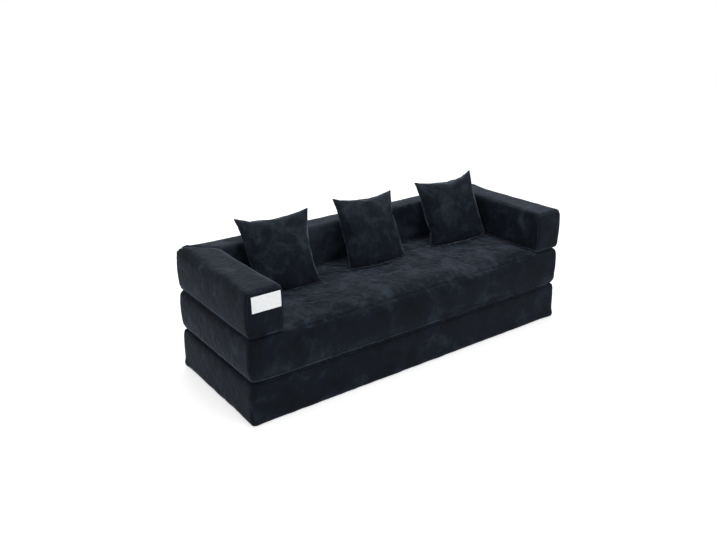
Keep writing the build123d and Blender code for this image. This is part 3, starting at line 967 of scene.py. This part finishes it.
def makeVelour(name, look):
    # Polyester crushed velour: a knitted pile, brushed and pressed in patches. It shows wispy paler and
    # darker clouds, a soft sheen at grazing angles and no gloss. Two attributes of the mesh add painted
    # light and shade: crests painted paler and hollows darker, tops painted paler, the other painted
    # highlights and shades on the covers, and the ends' patches
    material, tree, shader = startMaterial(name)
    place = addNode(tree, "ShaderNodeTexCoord").outputs["Object"]
    stretched = addNode(tree, "ShaderNodeMapping", {0: place, "Scale": look["stretch"]}).outputs[0]
    patches = addNode(tree, "ShaderNodeTexNoise", {
        0: place, "Scale": perMetre / look["patch"], "Detail": 3.0, "Distortion": 0.7}).outputs[0]
    wisps = addNode(tree, "ShaderNodeTexNoise", {
        0: stretched, "Scale": perMetre / look["wisp"], "Detail": 5.0, "Roughness": 0.6,
        "Distortion": 1.6}).outputs[0]
    streaks = addNode(tree, "ShaderNodeTexNoise", {
        0: stretched, "Scale": perMetre / look["streak"], "Detail": 3.0, "Distortion": 1.0}).outputs[0]
    # The pile's tufts are under 1 mm across, drawn larger so that they show
    tufts = addNode(tree, "ShaderNodeTexNoise", {
        0: place, "Scale": perMetre / look["tuft"], "Detail": 2.0}).outputs[0]
    paleness = addNode(tree, "ShaderNodeAttribute", attribute_name="paleness").outputs["Fac"]
    rumpleAndTopLight = addNode(tree, "ShaderNodeAttribute", attribute_name="rumpleAndTopLight").outputs["Fac"]
    # The shade rises with the rumple, which is set higher on the tops: a painted top light
    shade = addNode(tree, "ShaderNodeMath", {
        0: rumpleAndTopLight, 1: look["rumpleAndTopLightLift"], 2: look["lowestShade"]}, operation="MULTIPLY_ADD")
    shade = addNode(tree, "ShaderNodeMath", {
        0: paleness, 1: look["palenessShare"], 2: shade.outputs[0]}, operation="MULTIPLY_ADD")
    for source, share, shadeWeight in (
        (patches, look["patchShare"], 1.0), (wisps, look["wispShare"], rumpleAndTopLight),
        (streaks, look["streakShare"], rumpleAndTopLight), (tufts, look["tuftShare"], 1.0),
    ):
        centred = addNode(tree, "ShaderNodeMath", {0: source, 1: 0.5}, operation="SUBTRACT").outputs[0]
        centred = addNode(tree, "ShaderNodeMath", {0: centred, 1: shadeWeight}, operation="MULTIPLY").outputs[0]
        shade = addNode(tree, "ShaderNodeMath", {
            0: centred, 1: share * 2, 2: shade.outputs[0]}, operation="MULTIPLY_ADD")
    colour = addNode(tree, "ShaderNodeValToRGB", {0: shade.outputs[0]}, (
        (0.02, look["deep"]), (0.42, look["middle"]), (0.98, look["pale"]))).outputs[0]
    rough = addNode(tree, "ShaderNodeMath", {
        0: streaks, 1: 0.15, 2: 0.80}, operation="MULTIPLY_ADD").outputs[0]
    folds = addNode(tree, "ShaderNodeBump", {
        "Height": wisps, "Strength": 0.35, "Distance": 0.006}).outputs[0]
    creases = addNode(tree, "ShaderNodeBump", {
        "Height": streaks, "Strength": 0.3, "Distance": 0.002, "Normal": folds}).outputs[0]
    pile = addNode(tree, "ShaderNodeBump", {
        "Height": tufts, "Strength": 0.6, "Distance": 0.0008, "Normal": creases}).outputs[0]
    setSockets(tree, shader, {
        "Base Color": colour, "Roughness": rough, "Normal": pile, "Specular IOR Level": look["specular"],
        "Sheen Weight": look["sheen"], "Sheen Roughness": look["sheenRoughness"],
        "Sheen Tint": linear(look["sheenTint"])})
    return material


def makeLabelSatin():
    # White woven polyester satin: a fine weft rib and an even soft gloss
    material, tree, shader = startMaterial("woven satin label")
    place = addNode(tree, "ShaderNodeTexCoord").outputs["Object"]
    # The weft is about 0.3 mm apart, drawn at 2.4 mm so that it shows
    rib = addNode(tree, "ShaderNodeTexWave", {
        0: place, "Scale": perMetre / 2.4 / 2, "Distortion": 0.6}, bands_direction="Z").outputs["Fac"]
    cloud = addNode(tree, "ShaderNodeTexNoise", {
        0: place, "Scale": perMetre / 16, "Detail": 3.0}).outputs[0]
    mixed = addNode(tree, "ShaderNodeMix", {0: 0.3, 2: cloud, 3: rib}).outputs[0]
    colour = addNode(tree, "ShaderNodeValToRGB", {0: mixed}, (
        (0.2, "#e9edf0"), (0.7, "#fbfcfd"))).outputs[0]
    bump = addNode(tree, "ShaderNodeBump", {
        "Height": mixed, "Strength": 0.3, "Distance": 0.0005}).outputs[0]
    setSockets(tree, shader, {"Base Color": colour, "Roughness": 0.5, "Sheen Weight": 0.1, "Normal": bump})
    return material


def makeTape(name, dark, pale):
    # Woven nylon tape: a diagonal twill of dull dark threads, drawn at 2 mm so that it shows
    material, tree, shader = startMaterial(name)
    place = addNode(tree, "ShaderNodeTexCoord").outputs["Object"]
    turned = addNode(tree, "ShaderNodeMapping", {0: place, "Rotation": (0.6, 0.4, 0.7)}).outputs[0]
    twill = addNode(tree, "ShaderNodeTexWave", {
        0: turned, "Scale": perMetre / 2 / 3, "Distortion": 0.8}).outputs["Fac"]
    colour = addNode(tree, "ShaderNodeValToRGB", {0: twill}, ((0.2, dark), (0.8, pale))).outputs[0]
    bump = addNode(tree, "ShaderNodeBump", {
        "Height": twill, "Strength": 0.5, "Distance": 0.0004}).outputs[0]
    setSockets(tree, shader, {"Base Color": colour, "Roughness": 0.75, "Normal": bump})
    return material


def makeZipMetal():
    # Zinc die casting plated in black nickel: smooth, with faint tumbling marks
    material, tree, shader = startMaterial("black nickel zinc")
    place = addNode(tree, "ShaderNodeTexCoord").outputs["Object"]
    marks = addNode(tree, "ShaderNodeTexNoise", {
        0: place, "Scale": perMetre / 1.4, "Detail": 4.0}).outputs[0]
    colour = addNode(tree, "ShaderNodeValToRGB", {0: marks}, (
        (0.3, "#2d3034"), (0.7, "#4b4f54"))).outputs[0]
    rough = addNode(tree, "ShaderNodeMath", {
        0: marks, 1: 0.25, 2: 0.2}, operation="MULTIPLY_ADD").outputs[0]
    setSockets(tree, shader, {"Base Color": colour, "Roughness": rough, "Metallic": 1.0})
    return material


def paint(obj, material):
    obj.data.materials.clear()
    obj.data.materials.append(material)


# Studio: a pale floor, soft lights above and behind, in front and from the left, and a dome of light

studio = {
    "overhead": 57, "overheadSize": 3.0, "front": 41, "frontSize": 2.2, "left": 13, "leftSize": 1.8,
    "dome": 0.47, "floor": "#f4f4f4", "floorGlow": 0.55,
}


def seenDirectly(tree):
    # 1 where the camera, a reflection or a see-through part looks at the surface, and 0 for its light
    path = addNode(tree, "ShaderNodeLightPath").outputs
    seen = addNode(tree, "ShaderNodeMath", {
        0: path["Is Camera Ray"], 1: path["Is Glossy Ray"]}, operation="MAXIMUM")
    seen = addNode(tree, "ShaderNodeMath", {
        0: seen.outputs[0], 1: path["Is Transmission Ray"]}, operation="MAXIMUM")
    return seen.outputs[0]


def makeFloor():
    # White paper sweep: matt, with the object's shadow, and a glow that shows it as white as in the photo
    deselectAll()
    bpy.ops.mesh.primitive_plane_add(size=60, location=(0, 0, 0))
    floor = bpy.context.object
    floor.name = "studio_floor"
    material, tree, shader = startMaterial("white paper sweep")
    glow = addNode(tree, "ShaderNodeMath", {
        0: seenDirectly(tree), 1: studio["floorGlow"]}, operation="MULTIPLY").outputs[0]
    setSockets(tree, shader, {
        "Base Color": linear(studio["floor"]), "Roughness": 0.9,
        "Emission Color": linear("#ffffff"), "Emission Strength": glow})
    paint(floor, material)


def makeLights():
    for name, place, target in (
        ("overhead", (0.4, 1.0, 2.9), (0, 0, 0.4)), ("left", (-3.4, -2.0, 2.0), (0.4, 0, 0.4)),
        ("front", (0.3, -3.6, 2.3), (-0.2, 0, 0.3)),
    ):
        deselectAll()
        bpy.ops.object.light_add(type="AREA", location=place)
        light = bpy.context.object
        light.name = name + "_light"
        light.data.size = studio[name + "Size"]
        light.data.energy = studio[name]
        light.rotation_euler = (Vector(target) - Vector(place)).to_track_quat("-Z", "Y").to_euler()
    world = bpy.data.worlds.new("studio")
    scene.world = world
    world.use_nodes = True
    tree = world.node_tree
    strength = addNode(tree, "ShaderNodeMath", {
        0: seenDirectly(tree), 1: 1 - studio["dome"], 2: studio["dome"]}, operation="MULTIPLY_ADD")
    setSockets(tree, tree.nodes["Background"], {
        "Color": linear("#ffffff"), "Strength": strength.outputs[0]})
    scene.view_settings.view_transform = "Standard"


camera = {"place": (-2.414, -3.128, 2.006), "yaw": 35.88, "pitch": 21.84, "roll": -0.29, "lens": 39.0}


def makeCamera():
    deselectAll()
    bpy.ops.object.camera_add(location=camera["place"])
    obj = bpy.context.object
    obj.name = "photo_camera"
    turn = Euler((pi / 2 - radians(camera["pitch"]), 0, -radians(camera["yaw"]))).to_matrix()
    obj.rotation_euler = (turn @ Matrix.Rotation(radians(camera["roll"]), 3, "Z")).to_euler()
    obj.data.lens = camera["lens"]
    obj.data.sensor_width = 36
    obj.data.dof.use_dof = False
    scene.camera = obj


makeCamera()
makeLights()
makeFloor()
print("studio ready")

covers = {"base": makeBase(), "seat": makeSeat(), "back": makeBack()}
for armSide, armName in ((-1, "left"), (1, "right")):
    covers[armName + "_arm"] = makeArm(armSide, armName)
print("blocks ready")

seams = makeBlockSeams(covers)
print("seams ready")

pillows, pipings = {}, {}
for pillowName, pillowPlace in pillowPlaces.items():
    pillows[pillowName], pipings[pillowName] = makePillow(pillowName, pillowPlace)
print("pillows ready")

label = makeLabel(covers["left_arm"])
print("label ready")

coverVelour = makeVelour("crushed velour", velour)
# The pillows' velour starts from a paler shade than the covers', a painted light on their leaning faces,
# and has its own pattern sizes
pillowVelour = makeVelour("pillow velour", dict(
    velour, wisp=34, patch=90, patchShare=0.60, wispShare=0.46, lowestShade=0.24, stretch=(1.1, 1.0, 0.5)))
# Welts, hems and zip lips are painted in a paler copy of the velour, a painted highlight along their rolls
seamVelour = makeVelour("rolled velour seam", dict(
    velour, middle="#2b323e", pale="#5d6878", wispShare=0.3, lowestShade=0.30))
for cover in covers.values():
    paint(cover, coverVelour)
# Piping and the arms' front seams get a paler copy too, less pale: a painted highlight
pipingVelour = makeVelour("pillow piping velour", dict(
    velour, middle="#1b212a", pale="#49525f", wispShare=0.3, lowestShade=0.26))
for seamName, seam in seams.items():
    paint(seam, pipingVelour if "front" in seamName else seamVelour)
for piping in pipings.values():
    paint(piping, pipingVelour)
for pillow in pillows.values():
    paint(pillow, pillowVelour)
paint(label, makeLabelSatin())
darkTape = makeTape("black nylon tape", "#0f1012", "#26292d")
zipMetal = makeZipMetal()
for nodeName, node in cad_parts.items():
    if nodeName.endswith("slider"):
        paint(node, zipMetal)
    elif nodeName.startswith("fold_tape"):
        paint(node, coverVelour)
    elif "zip" in nodeName or "tape" in nodeName or "strips" in nodeName:
        paint(node, darkTape)
print("materials ready")
